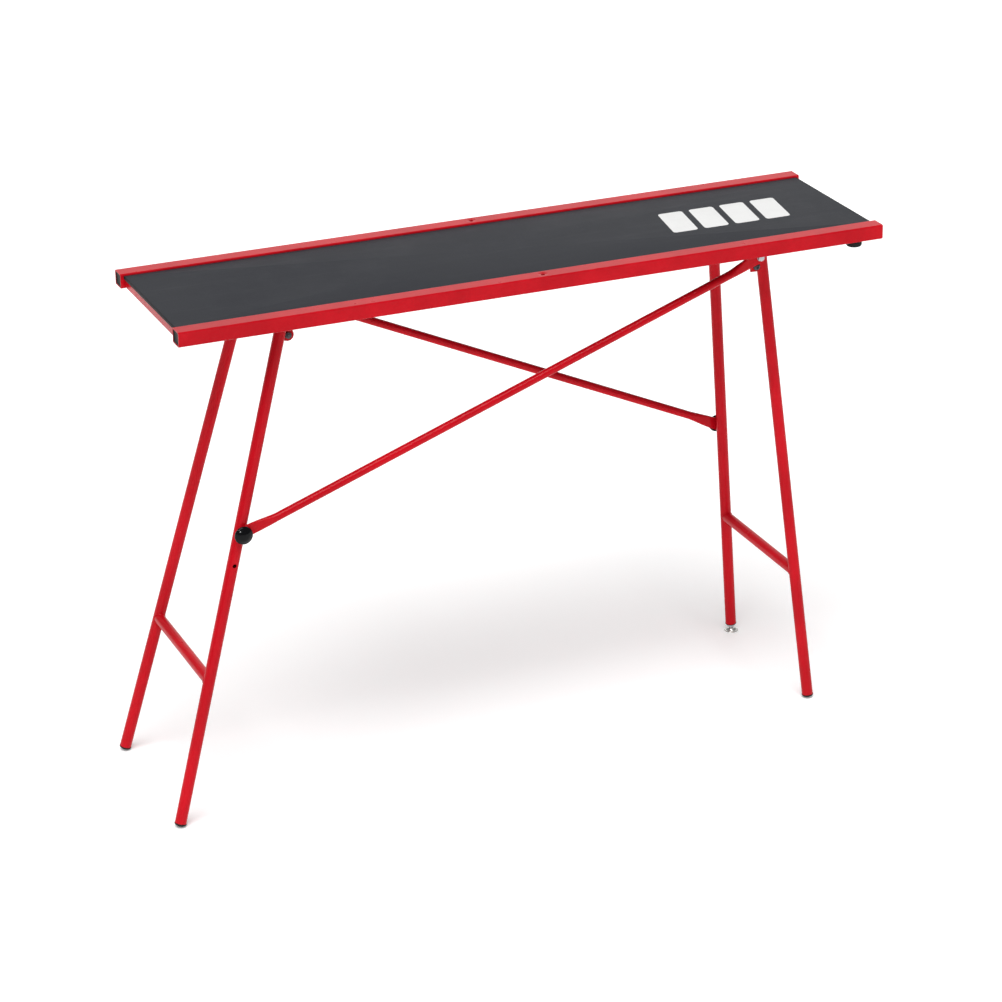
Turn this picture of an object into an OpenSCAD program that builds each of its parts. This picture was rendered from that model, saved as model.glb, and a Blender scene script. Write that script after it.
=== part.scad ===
// Folding work table: a narrow board between two tubular rails, on two hinged leg frames
// that are held open by diagonal braces with screw knobs.
// Origin: on the floor under the middle of the whole object. X runs along the rails, Z is up.

/* [Table top] */
// Length of the rails
table_l = 1200; // [1000:10:1500]
// Width over the rails
table_w = 326; // [300:2:400]
// Height of the rail tops above the floor
table_h = 836; // [700:4:950]
// Width of a rail
rail_w = 29; // [26:1:34]
// Height of a rail
rail_h = 24; // [22:1:30]
// Outer corner radius of a rail
rail_corner = 2.2; // [1.8:0.1:3]
// Wall of the rails and crossbars
rail_wall = 1.5; // [1:0.1:2]
// Thickness of the board
board_t = 5; // [4:0.5:5.5]
// Depth of the board's top below the rail tops
board_drop = 3; // [2:0.5:4]
// Gap between the board and each rail
board_gap = 0.5; // [0.2:0.1:1.5]
// Reach of the board past the end crossbars
board_lip = 4; // [0:0.5:6]
// Width of the end and centre crossbars
bar_w = 20; // [16:1:30]
// Reach of the rails past the end crossbars
bar_inset = 9; // [7:1:30]
// Place of the centre crossbar and of the rail holes along the rails
centre_x = 4; // [-40:1:40]

/* [Rail fittings] */
// Radius of the threaded hole in each rail top
rail_hole_r = 3.3; // [2.5:0.1:4]
// Radius of the pressed dimple round that hole
dimple_r = 9; // [7:0.5:11]
// Depth of the dimple
dimple_depth = 1.1; // [0.5:0.1:1.4]
// Depth of a plastic plug in a rail end
plug_l = 12; // [8:1:25]
// Set-back of a plug from the rail end
plug_inset = 0.6; // [0.2:0.1:2]
// Diameter of a rubber buffer
buffer_d = 26; // [18:1:28]
// Height of a rubber buffer
buffer_h = 9.5; // [6:0.5:12]
// Distance of a buffer from the rail end
buffer_inset = 45; // [30:1:90]

/* [Hinges] */
// Distance of each hinge from the middle of the table
hinge_x = 400; // [330:5:440]
// Drop of the leg pivots below the rail tops
leg_pivot_drop = 60; // [58:1:66]
// Drop of the brace pivots below the rail tops
brace_pivot_drop = 40; // [40:0.5:42]
// Width of the hinge crossbars
hinge_bar_w = 30; // [26:1:40]
// Thickness of the hinge plates and brackets
plate_t = 4; // [3:0.5:4.5]
// Half width of the hinge plates and brackets
plate_r = 10; // [8.5:0.5:11]
// Diameter of the hinge bolts
bolt_d = 6; // [5:0.5:6]
// Radial clearance of a turning joint
run_clear = 0.05; // [0.02:0.01:0.1]
// Free gap between plates that turn past each other
side_gap = 0.4; // [0.2:0.1:1]
// Length of the bush between a bracket and its brace
bush_l = 10; // [8:0.5:14]

/* [Legs] */
// Outer diameter of the leg tubes
leg_d = 19; // [17:0.5:20]
// Wall of the leg tubes
leg_wall = 1.5; // [1:0.1:2]
// Outward tilt of the left legs
left_tilt = 15.9; // [8:0.1:18]
// Outward tilt of the right legs
right_tilt = 5.2; // [3:0.1:14]
// Sideways splay of every leg
splay = 4.15; // [2:0.05:5]
// Distance of the leg axes from the middle at hinge height
leg_y = 91; // [80:1:96]
// Distance of the leg axes from the leg pivot
leg_offset = 17; // [16.5:0.5:20]
// Length of a leg above its pivot
leg_top = 12; // [8:0.5:13]
// Distance of the left cross tube below the pivot, along the leg
left_cross = 567; // [480:1:620]
// Distance of the right cross tube below the pivot, along the leg
right_cross = 549; // [480:1:600]
// Distance of the upper brace hole below the pivot, along the leg
upper_hole = 318; // [250:1:340]
// Distance of the lower brace hole below the pivot, along the leg
lower_hole = 373; // [360:1:420]

/* [Braces] */
// Outer diameter of the brace tubes
brace_d = 13.5; // [12:0.5:14]
// Wall of the brace tubes
brace_wall = 1.3; // [1:0.1:1.8]
// Thickness of the flattened brace ends
flat_t = 3; // [2.5:0.1:3.5]
// Width of the flattened brace ends
flat_w = 20; // [17:0.5:22]
// Length of the flat part from the hole
flat_l = 14; // [13:1:26]
// Length of the change from flat to round
neck_l = 46; // [20:1:50]
// Gap between a brace end and the crown of its leg
knob_gap = 1.1; // [1:0.1:2]

/* [Knobs and feet] */
// Diameter of a knob
knob_d = 30; // [24:1:31]
// Height of a knob
knob_h = 14; // [11:0.5:18]
// Height of a knob's narrower neck
knob_neck = 2.5; // [2:0.5:4]
// Radius of the dome of a foot cap
cap_dome = 14; // [12:0.5:20]
// Height of the visible rim of a foot cap
cap_rim = 2; // [1:0.5:5]
// Depth of a foot cap inside its tube
cap_in = 16; // [10:1:30]
// Diameter of the levelling pad
pad_d = 25; // [20:1:32]
// Thickness of the levelling pad's rim
pad_t = 2.4; // [1.5:0.1:4]
// Height of the screwed foot's tube end above the floor
level_end = 16.5; // [14:0.5:24]
// Diameter of the levelling screw
level_screw_d = 8; // [6:0.5:8]

/* [Hidden] */
$fn = 64;

red = [0.78, 0.08, 0.11];
black = [0.06, 0.06, 0.07];
steel = [0.75, 0.76, 0.78];
dark_steel = [0.16, 0.16, 0.17];

near = -1;
far = 1;
left = -1;
right = 1;
eps = 0.01;

// Table top heights and spans
rail_bottom = table_h - rail_h;
rail_y = table_w / 2 - rail_w / 2;
inner_y = table_w / 2 - rail_w;
board_bottom = table_h - board_drop - board_t;
bar_h = board_bottom - rail_bottom;
end_bar_x = table_l / 2 - bar_inset - bar_w / 2;
board_l = 2 * (end_bar_x + bar_w / 2 + board_lip);

// Hinge heights, and distances from a leg's axis through the stack of plates beside it
leg_pivot_z = table_h - leg_pivot_drop;
brace_pivot_z = table_h - brace_pivot_drop;
leg_out = leg_d / 2 / cos(splay);
plate_out = leg_out + plate_r * tan(splay) + side_gap;
plate_in = plate_out - plate_t;
bracket_in = plate_out + side_gap;
bracket_out = bracket_in + plate_t;
bracket_foot = 8;
outer_flange_l = inner_y - leg_y - bracket_in;
inner_flange_l = 22;
brace_y = leg_y + bracket_out + bush_l + flat_t / 2 + side_gap / 2;
head_h = 4.5;
head_d = 2 * bolt_d;
nut_h = 5;
nut_flats = 10;
tip_l = 1.5;

// A cross tube is a little slimmer than a leg, so that its saddle-cut ends stay inside the leg's width
cross_d = leg_d - 0.6;

// Feet
tube_in = leg_d - 2 * leg_wall;
cap_d = leg_d + 0.8;
cap_fit = 0.2;
cap_face = sqrt(cap_dome * cap_dome - cap_d * cap_d / 4);
socket_face = 1.6;
level_nut_h = 4.5;
level_nut_flats = 13;
pad_hub_h = 3.2;
pad_hub_d = 13;

// Screws that hold the board
screw_d = 4;
screw_head_d = 8;
screw_head_h = 2.6;
screw_bite = 3;
screw_flange_gap = 10;
screw_y = leg_y - bracket_in - inner_flange_l - screw_head_d / 2 - screw_flange_gap;
screw_xs = [-end_bar_x, -hinge_x, centre_x, hinge_x, end_bar_x];

// Knobs
knob_lift = 0.4;
knob_bore_l = 8;
neck_d = 19;
edge_r = 3;
stud_gap = 0.1;
stud_clear = 0.3;

// The plates stand outboard of a leg where a brace hangs, and inboard of the other two legs
function stack(side, row) = side == -row ? 1 : -1;
function stack_y(side, row, d) = row * (leg_y + stack(side, row) * d);

function tilt(side) = side == left ? left_tilt : right_tilt;
function cross_at(side) = side == left ? left_cross : right_cross;

// Distance along a leg, from its pivot, at which its axis is z above the floor
function leg_reach(side, z) =
    (leg_pivot_z + leg_offset * sin(tilt(side)) - z) / (cos(tilt(side)) * cos(splay));

// Point on a leg's axis, a distance s below the pivot along the leg
function leg_point(side, row, s) = [
    side * (hinge_x + leg_offset * cos(tilt(side)) + s * cos(splay) * sin(tilt(side))),
    row * (leg_y + s * sin(splay)),
    leg_pivot_z + leg_offset * sin(tilt(side)) - s * cos(splay) * cos(tilt(side))];

// Where a brace's screwed end sits, outside its leg
function brace_tip(side, row, s) =
    leg_point(side, row, s) + [0, row * (leg_out + knob_gap + flat_t / 2), 0];

near_from = [hinge_x, near * brace_y, brace_pivot_z];
near_to = brace_tip(left, near, upper_hole);
far_from = [-hinge_x, far * brace_y, brace_pivot_z];
far_to = brace_tip(right, far, lower_hole);

// Every piece is drawn with the table's middle at x = 0, then moved so the whole object is centred
left_foot_reach = hinge_x + leg_offset * cos(left_tilt)
    + (leg_reach(left, cap_dome) + cap_face) * cos(splay) * sin(left_tilt)
    + cap_d / 2 * sqrt(1 - pow(cos(splay) * sin(left_tilt), 2));
right_foot_reach = hinge_x + leg_offset * cos(right_tilt)
    + (leg_reach(right, cap_dome) + cap_face) * cos(splay) * sin(right_tilt)
    + cap_d / 2 * sqrt(1 - pow(cos(splay) * sin(right_tilt), 2));
table_x = (max(left_foot_reach, table_l / 2) - max(right_foot_reach, table_l / 2)) / 2;

module piece(shade)
    color(shade)
        translate([table_x, 0, 0])
            children();

// Frames of reference: a leg frame's plane, one leg's axis (down is -Z), and a brace (along +X)
module on_frame(side)
    translate([side * hinge_x, 0, leg_pivot_z])
        rotate([0, -side * tilt(side), 0])
            children();

module on_leg(side, row)
    on_frame(side)
        translate([side * leg_offset, row * leg_y, 0])
            rotate([row * splay, 0, 0])
                children();

module on_brace(from, to) {
    run = to - from;
    flat_run = norm([run.x, run.y]);
    translate(from)
        rotate([0, atan2(-run.z, flat_run), atan2(run.y, run.x)])
            children();
}

module on_brace_end(from, to)
    on_brace(from, to)
        translate([norm(to - from), 0, 0])
            children();

// Plain cylinder along +Y or -Y
module y_rod(r, from_y, to_y)
    translate([0, from_y, 0])
        rotate([from_y < to_y ? -90 : 90, 0, 0])
            cylinder(r = r, h = abs(to_y - from_y));

module hex_prism(flats, h) cylinder(d = flats / cos(30), h = h, $fn = 6);

module y_hex(flats, from_y, to_y)
    translate([0, from_y, 0])
        rotate([from_y < to_y ? -90 : 90, 0, 0])
            hex_prism(flats, abs(to_y - from_y));

module rounded_box(w, h, r) {
    square([w - 2 * r, h], center = true);
    square([w, h - 2 * r], center = true);
    for (x = [-1, 1], y = [-1, 1])
        translate([x * (w / 2 - r), y * (h / 2 - r)])
            circle(r = r, $fn = 32);
}

// Table top
module rail(row) {
    dish_r = (dimple_r * dimple_r + dimple_depth * dimple_depth) / (2 * dimple_depth);
    boss_h = rail_wall + dimple_depth;
    piece(red)
        translate([0, row * rail_y, 0])
            difference() {
                union() {
                    translate([-table_l / 2, 0, rail_bottom + rail_h / 2])
                        rotate([90, 0, 90])
                            linear_extrude(table_l)
                                difference() {
                                    rounded_box(rail_w, rail_h, rail_corner);
                                    square([rail_w - 2 * rail_wall, rail_h - 2 * rail_wall], center = true);
                                }
                    translate([centre_x, 0, table_h - rail_wall - boss_h])
                        cylinder(r = dimple_r + 1, h = boss_h + eps);
                }
                translate([centre_x, 0, table_h + dish_r - dimple_depth])
                    sphere(r = dish_r, $fn = 96);
                translate([centre_x, 0, table_h - 2 * boss_h])
                    cylinder(r = rail_hole_r, h = 3 * boss_h);
            }
}

module near_rail() rail(near);
module far_rail() rail(far);

module rail_end_plugs() {
    fit = 2 * (rail_wall + cap_fit / 2);
    piece(black)
        for (side = [left, right], row = [near, far])
            translate([side * (table_l / 2 - plug_inset - plug_l / 2), row * rail_y, rail_bottom + rail_h / 2])
                cube([plug_l, rail_w - fit, rail_h - fit], center = true);
}

module crossbar(x, w) {
    piece(red)
        translate([x, 0, 0])
            difference() {
                translate([-w / 2, -inner_y, rail_bottom])
                    cube([w, 2 * inner_y, bar_h]);
                translate([-w / 2 + rail_wall, -inner_y - eps, rail_bottom + rail_wall])
                    cube([w - 2 * rail_wall, 2 * inner_y + 2 * eps, bar_h - 2 * rail_wall]);
                for (y = [-screw_y, screw_y])
                    translate([0, y, rail_bottom - eps])
                        cylinder(d = screw_d, h = bar_h + 2 * eps);
            }
}

module left_end_bar() crossbar(-end_bar_x, bar_w);
module right_end_bar() crossbar(end_bar_x, bar_w);
module left_hinge_bar() crossbar(-hinge_x, hinge_bar_w);
module right_hinge_bar() crossbar(hinge_x, hinge_bar_w);
module centre_bar() crossbar(centre_x, bar_w);

module work_board()
    piece(black)
        difference() {
            translate([-board_l / 2, -inner_y + board_gap, board_bottom])
                cube([board_l, 2 * (inner_y - board_gap), board_t]);
            for (x = screw_xs, y = [-screw_y, screw_y])
                translate([x, y, board_bottom - eps])
                    cylinder(d = screw_d, h = screw_bite + eps);
        }

module board_screws()
    piece(steel)
        for (x = screw_xs, y = [-screw_y, screw_y])
            translate([x, y, rail_bottom - screw_head_h]) {
                cylinder(d = screw_head_d, h = screw_head_h);
                cylinder(d = screw_d, h = screw_head_h + bar_h + screw_bite);
            }

module rubber_buffers()
    piece(black)
        for (side = [left, right])
            translate([side * (table_l / 2 - buffer_inset), -side * rail_y, rail_bottom - buffer_h])
                intersection() {
                    cylinder(d = buffer_d, h = buffer_h);
                    translate([0, 0, buffer_d])
                        sphere(r = buffer_d, $fn = 96);
                }

// Hinges
module hinge_bracket(side, row) {
    face = stack_y(side, row, bracket_in);
    back = stack_y(side, row, bracket_out);
    flange_l = stack(side, row) > 0 ? outer_flange_l : inner_flange_l;
    toe = face + sign(back - face) * flange_l;
    low = leg_pivot_z - bracket_foot;
    holes = stack(side, row) > 0 ? [leg_pivot_z, brace_pivot_z] : [leg_pivot_z];
    piece(red)
        translate([side * hinge_x, 0, 0])
            difference() {
                union() {
                    translate([-plate_r, min(face, back), low])
                        cube([2 * plate_r, plate_t, rail_bottom - low]);
                    translate([-plate_r, min(face, toe), rail_bottom - plate_t])
                        cube([2 * plate_r, flange_l, plate_t]);
                }
                for (z = holes)
                    translate([0, 0, z])
                        y_rod(bolt_d / 2 + run_clear, face + face - back, back + back - face);
            }
}

module left_hinge_brackets() for (row = [near, far]) hinge_bracket(left, row);
module right_hinge_brackets() for (row = [near, far]) hinge_bracket(right, row);

module pivot_bolt(side, row) {
    head = bracket_out + side_gap / 4;
    piece(dark_steel)
        translate([side * hinge_x, 0, leg_pivot_z]) {
            y_rod(head_d / 2, stack_y(side, row, head), stack_y(side, row, head + head_h));
            y_rod(bolt_d / 2, stack_y(side, row, plate_in - nut_h - tip_l), stack_y(side, row, head + eps));
        }
}

module lock_nut(side, row, face, z, shade)
    piece(shade)
        translate([side * hinge_x, 0, z])
            difference() {
                y_hex(nut_flats, stack_y(side, row, face), stack_y(side, row, face - nut_h));
                y_rod(bolt_d / 2, stack_y(side, row, face + 1), stack_y(side, row, face - nut_h - 1));
            }

module left_pivot_bolts() for (row = [near, far]) pivot_bolt(left, row);
module right_pivot_bolts() for (row = [near, far]) pivot_bolt(right, row);
module left_pivot_nuts()
    for (row = [near, far]) lock_nut(left, row, plate_in - side_gap / 4, leg_pivot_z, dark_steel);
module right_pivot_nuts()
    for (row = [near, far]) lock_nut(right, row, plate_in - side_gap / 4, leg_pivot_z, dark_steel);

// Brace bolts: the near brace hangs from the right bracket, the far brace from the left one
brace_mounts = [[right, near], [left, far]];

module brace_pivot_bolts() {
    head_y = brace_y + flat_t / 2 + side_gap;
    piece(steel)
        for (m = brace_mounts)
            translate([m[0] * hinge_x, 0, brace_pivot_z]) {
                y_rod(head_d / 2, m[1] * head_y, m[1] * (head_y + 1));
                y_hex(nut_flats, m[1] * (head_y + 1), m[1] * (head_y + head_h));
                y_rod(bolt_d / 2, m[1] * (leg_y + bracket_in - nut_h - tip_l), m[1] * (head_y + eps));
            }
}

module brace_pivot_nuts()
    for (m = brace_mounts) lock_nut(m[0], m[1], bracket_in, brace_pivot_z, steel);

module brace_pivot_bushes() {
    bush_from = leg_y + bracket_out;
    bush_d = 2 * bolt_d;
    piece(steel)
        for (m = brace_mounts)
            translate([m[0] * hinge_x, 0, brace_pivot_z])
                difference() {
                    y_rod(bush_d / 2, m[1] * bush_from, m[1] * (bush_from + bush_l));
                    y_rod(bolt_d / 2, m[1] * (bush_from - 1), m[1] * (bush_from + bush_l + 1));
                }
}

// Legs
module leg_solid(side, row, end_s)
    on_leg(side, row)
        translate([0, 0, -end_s])
            cylinder(d = leg_d, h = end_s + leg_top);

module brace_hole(side, row, s)
    translate(leg_point(side, row, s))
        y_rod(bolt_d / 2 + stud_clear, 0, row * leg_d);

module leg_tube(side, row, end_s, holes)
    piece(red)
        difference() {
            leg_solid(side, row, end_s);
            on_leg(side, row)
                translate([0, 0, -end_s - 1])
                    cylinder(d = tube_in, h = end_s + leg_top + 2);
            for (s = holes) brace_hole(side, row, s);
        }

// Distance along a leg from its pivot to the end of its tube
function capped_end(side) = leg_reach(side, cap_dome) + cap_face - cap_rim;
level_tube_end = leg_reach(right, level_end);

module left_near_leg() leg_tube(left, near, capped_end(left), [upper_hole, lower_hole]);
module left_far_leg() leg_tube(left, far, capped_end(left), []);
module right_near_leg() leg_tube(right, near, capped_end(right), []);
module right_far_leg() leg_tube(right, far, level_tube_end, [upper_hole, lower_hole]);

module cross_tube(side) {
    s = cross_at(side);
    half = leg_y + s * sin(splay);
    piece(red)
        difference() {
            on_frame(side)
                translate([side * leg_offset, 0, -s * cos(splay)])
                    difference() {
                        y_rod(cross_d / 2, -half, half);
                        y_rod(cross_d / 2 - leg_wall, -half - 1, half + 1);
                    }
            for (row = [near, far]) leg_solid(side, row, capped_end(side));
        }
}

module left_cross_tube() cross_tube(left);
module right_cross_tube() cross_tube(right);

module hinge_plate(side, row) {
    inner = stack_y(side, row, plate_in);
    outer = stack_y(side, row, plate_out);
    piece(red)
        difference() {
            on_frame(side)
                difference() {
                    union() {
                        y_rod(plate_r, inner, outer);
                        translate([min(0, side * leg_offset), min(inner, outer), -plate_r])
                            cube([leg_offset, plate_t, 2 * plate_r]);
                    }
                    y_rod(bolt_d / 2 + run_clear, inner + inner - outer, outer + outer - inner);
                }
            leg_solid(side, row, 2 * leg_d);
        }
}

module left_hinge_plates() for (row = [near, far]) hinge_plate(left, row);
module right_hinge_plates() for (row = [near, far]) hinge_plate(right, row);

// Feet
module foot_cap(side, row) {
    centre_s = leg_reach(side, cap_dome);
    end_s = capped_end(side);
    piece(black)
        on_leg(side, row) {
            intersection() {
                translate([0, 0, -centre_s])
                    sphere(r = cap_dome, $fn = 96);
                translate([0, 0, -centre_s - cap_dome])
                    cylinder(d = cap_d, h = cap_dome + centre_s - end_s);
            }
            translate([0, 0, -end_s - eps])
                cylinder(d = tube_in - cap_fit, h = cap_in);
        }
}

module left_foot_caps() for (row = [near, far]) foot_cap(left, row);
module right_foot_cap() foot_cap(right, near);

module levelling_socket()
    piece(black)
        on_leg(right, far)
            difference() {
                union() {
                    translate([0, 0, -level_tube_end - socket_face])
                        cylinder(d = cap_d, h = socket_face);
                    translate([0, 0, -level_tube_end - eps])
                        cylinder(d = tube_in - cap_fit, h = cap_in);
                }
                translate([0, 0, -level_tube_end - socket_face - 1])
                    cylinder(r = level_screw_d / 2 + run_clear, h = cap_in + socket_face + 2);
            }

// The levelling screw stands in a flat pad: its lower end is trimmed level inside the pad's hub
module screw_solid()
    difference() {
        on_leg(right, far)
            translate([0, 0, -leg_reach(right, 0)])
                cylinder(d = level_screw_d, h = leg_reach(right, 0) - level_tube_end + cap_in - 2);
        translate([-table_l, -table_w, pad_t - table_h])
            cube([2 * table_l, 2 * table_w, table_h]);
    }

module levelling_screw() piece(steel) screw_solid();

module levelling_nut()
    piece(steel)
        on_leg(right, far)
            translate([0, 0, -level_tube_end - socket_face - level_nut_h])
                difference() {
                    hex_prism(level_nut_flats, level_nut_h - side_gap / 4);
                    translate([0, 0, -1])
                        cylinder(d = level_screw_d, h = level_nut_h + 2);
                }

module levelling_pad() {
    foot = leg_point(right, far, leg_reach(right, 0));
    piece(steel)
        difference() {
            translate([foot.x, foot.y, 0]) {
                cylinder(d = pad_d, h = pad_t);
                translate([0, 0, pad_t - eps])
                    cylinder(d1 = pad_d - 3, d2 = pad_hub_d, h = pad_hub_h);
            }
            screw_solid();
        }
}

// Braces
module brace(from, to) {
    span = norm(to - from);
    jog = brace_d / 2 - flat_t / 2;
    round_from = flat_l + neck_l;
    piece(red)
        on_brace(from, to) {
            translate([round_from, jog, 0])
                rotate([0, 90, 0])
                    difference() {
                        cylinder(d = brace_d, h = span - 2 * round_from);
                        translate([0, 0, -1])
                            cylinder(d = brace_d - 2 * brace_wall, h = span - 2 * round_from + 2);
                    }
            for (end = [0, 1])
                translate([end * span, 0, 0])
                    mirror([end, 0, 0]) {
                        difference() {
                            union() {
                                y_rod(flat_w / 2, -flat_t / 2, flat_t / 2);
                                translate([0, -flat_t / 2, -flat_w / 2])
                                    cube([flat_l, flat_t, flat_w]);
                            }
                            y_rod(bolt_d / 2 + run_clear, -flat_t, flat_t);
                        }
                        hull() {
                            translate([flat_l, -flat_t / 2, -flat_w / 2])
                                cube([eps, flat_t, flat_w]);
                            translate([round_from, jog, 0])
                                rotate([0, 90, 0])
                                    cylinder(d = brace_d, h = eps, $fn = 32);
                        }
                    }
        }
}

module near_brace() brace(near_from, near_to);
module far_brace() brace(far_from, far_to);

// Knobs: a domed plastic head moulded round a threaded stud
module knob_profile() {
    crown_r = knob_d * 0.62;
    intersection() {
        union() {
            square([neck_d / 2, knob_neck + eps]);
            translate([0, knob_neck])
                square([knob_d / 2 - edge_r, knob_h - knob_neck]);
            translate([0, knob_neck + edge_r])
                square([knob_d / 2, knob_h - knob_neck - edge_r]);
            translate([knob_d / 2 - edge_r, knob_neck + edge_r])
                circle(r = edge_r, $fn = 32);
        }
        translate([0, knob_h - crown_r])
            circle(r = crown_r, $fn = 96);
        square([knob_d, knob_h]);
    }
}

module knob(from, to)
    piece(black)
        on_brace_end(from, to)
            translate([0, flat_t / 2 + knob_lift, 0])
                rotate([-90, 0, 0])
                    difference() {
                        rotate_extrude($fn = 96)
                            knob_profile();
                        translate([0, 0, -1])
                            cylinder(d = bolt_d, h = knob_bore_l + 1);
                    }

module knob_stud(from, to)
    piece(steel)
        on_brace_end(from, to)
            y_rod(bolt_d / 2, -flat_t / 2 + stud_gap, flat_t / 2 + knob_lift + knob_bore_l);

module near_knob() knob(near_from, near_to);
module near_knob_stud() knob_stud(near_from, near_to);
module far_knob() knob(far_from, far_to);
module far_knob_stud() knob_stud(far_from, far_to);

near_rail();
far_rail();
rail_end_plugs();
left_end_bar();
right_end_bar();
left_hinge_bar();
right_hinge_bar();
centre_bar();
work_board();
board_screws();
rubber_buffers();
left_hinge_brackets();
right_hinge_brackets();
right_pivot_bolts();
right_pivot_nuts();
left_pivot_bolts();
left_pivot_nuts();
brace_pivot_bolts();
brace_pivot_nuts();
brace_pivot_bushes();
left_near_leg();
left_far_leg();
left_cross_tube();
left_hinge_plates();
left_foot_caps();
right_near_leg();
right_far_leg();
right_cross_tube();
right_hinge_plates();
right_foot_cap();
levelling_socket();
levelling_screw();
levelling_nut();
levelling_pad();
near_brace();
far_brace();
near_knob();
near_knob_stud();
far_knob();
far_knob_stud();
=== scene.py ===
"""Finished pieces, finishes, light and camera for a folding work table.

Every size is in millimetres until a mesh is built, when it is turned into metres.
"""
import logging
import math
from dataclasses import dataclass, field
from enum import Enum
from typing import Any, Iterable, Optional, Sequence, Union

import bpy
import numpy as np
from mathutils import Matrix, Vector


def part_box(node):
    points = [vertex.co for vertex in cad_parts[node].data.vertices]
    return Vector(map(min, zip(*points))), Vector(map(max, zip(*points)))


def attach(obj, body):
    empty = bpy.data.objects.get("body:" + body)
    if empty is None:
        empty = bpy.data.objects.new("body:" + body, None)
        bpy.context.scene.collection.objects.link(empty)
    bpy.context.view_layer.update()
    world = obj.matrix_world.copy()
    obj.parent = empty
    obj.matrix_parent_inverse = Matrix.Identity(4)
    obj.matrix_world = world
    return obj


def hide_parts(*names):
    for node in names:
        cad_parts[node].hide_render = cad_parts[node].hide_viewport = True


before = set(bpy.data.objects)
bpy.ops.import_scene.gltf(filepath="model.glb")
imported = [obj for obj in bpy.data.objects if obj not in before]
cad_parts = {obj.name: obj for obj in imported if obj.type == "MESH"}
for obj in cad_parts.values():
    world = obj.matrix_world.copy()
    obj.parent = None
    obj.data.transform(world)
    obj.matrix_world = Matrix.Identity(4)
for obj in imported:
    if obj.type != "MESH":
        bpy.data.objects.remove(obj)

LOG = logging.getLogger("work_table")
MM = 0.001
TAU = 2.0 * math.pi
FITTING_EDGE = 30.0  # degrees past which an edge of a bolt or nut stays sharp
THREAD_EDGE = 50.0  # the same for threads and for the lofted braces

Array = np.ndarray
Number = Union[int, float]


class Side(Enum):
    """The end of the table that a piece belongs to."""

    LEFT = -1
    RIGHT = 1


class Row(Enum):
    """The long side of the table that a piece belongs to."""

    NEAR = -1
    FAR = 1


# --------------------------------------------------------------------------------------
# Shader maths
# --------------------------------------------------------------------------------------


class Wire:
    """One output socket of a material's node tree. Arithmetic on it adds Math nodes."""

    def __init__(self, graph: "Graph", socket: bpy.types.NodeSocket) -> None:
        """Keeps the socket and the graph that new nodes go into."""
        self.graph = graph
        self.socket = socket

    def _math(self, operation: str, first: Any, second: Any = None) -> "Wire":
        """Adds one Math node.

        Args:
            operation: the Math node's operation.
            first: a Wire or a number for its first input.
            second: a Wire or a number for its second input, if it has one.

        Returns:
            The node's result.
        """
        inputs = {0: first} if second is None else {0: first, 1: second}
        return self.graph.node("ShaderNodeMath", {"operation": operation}, inputs)

    def __add__(self, other: Any) -> "Wire":
        """Sum."""
        return self._math("ADD", self, other)

    def __radd__(self, other: Any) -> "Wire":
        """Sum with a number first."""
        return self._math("ADD", other, self)

    def __sub__(self, other: Any) -> "Wire":
        """Difference."""
        return self._math("SUBTRACT", self, other)

    def __rsub__(self, other: Any) -> "Wire":
        """Difference from a number."""
        return self._math("SUBTRACT", other, self)

    def __mul__(self, other: Any) -> "Wire":
        """Product."""
        return self._math("MULTIPLY", self, other)

    def __rmul__(self, other: Any) -> "Wire":
        """Product with a number first."""
        return self._math("MULTIPLY", other, self)

    def __gt__(self, other: Any) -> "Wire":
        """1 where this is more than the other, else 0."""
        return self._math("GREATER_THAN", self, other)

    def ease(self, low: Number, high: Number) -> "Wire":
        """Rises smoothly from 0 at low to 1 at high."""
        settings = {"interpolation_type": "SMOOTHSTEP"}
        inputs = {"Value": self, "From Min": low, "From Max": high, "To Min": 0.0, "To Max": 1.0}
        return self.graph.node("ShaderNodeMapRange", settings, inputs)


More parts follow.
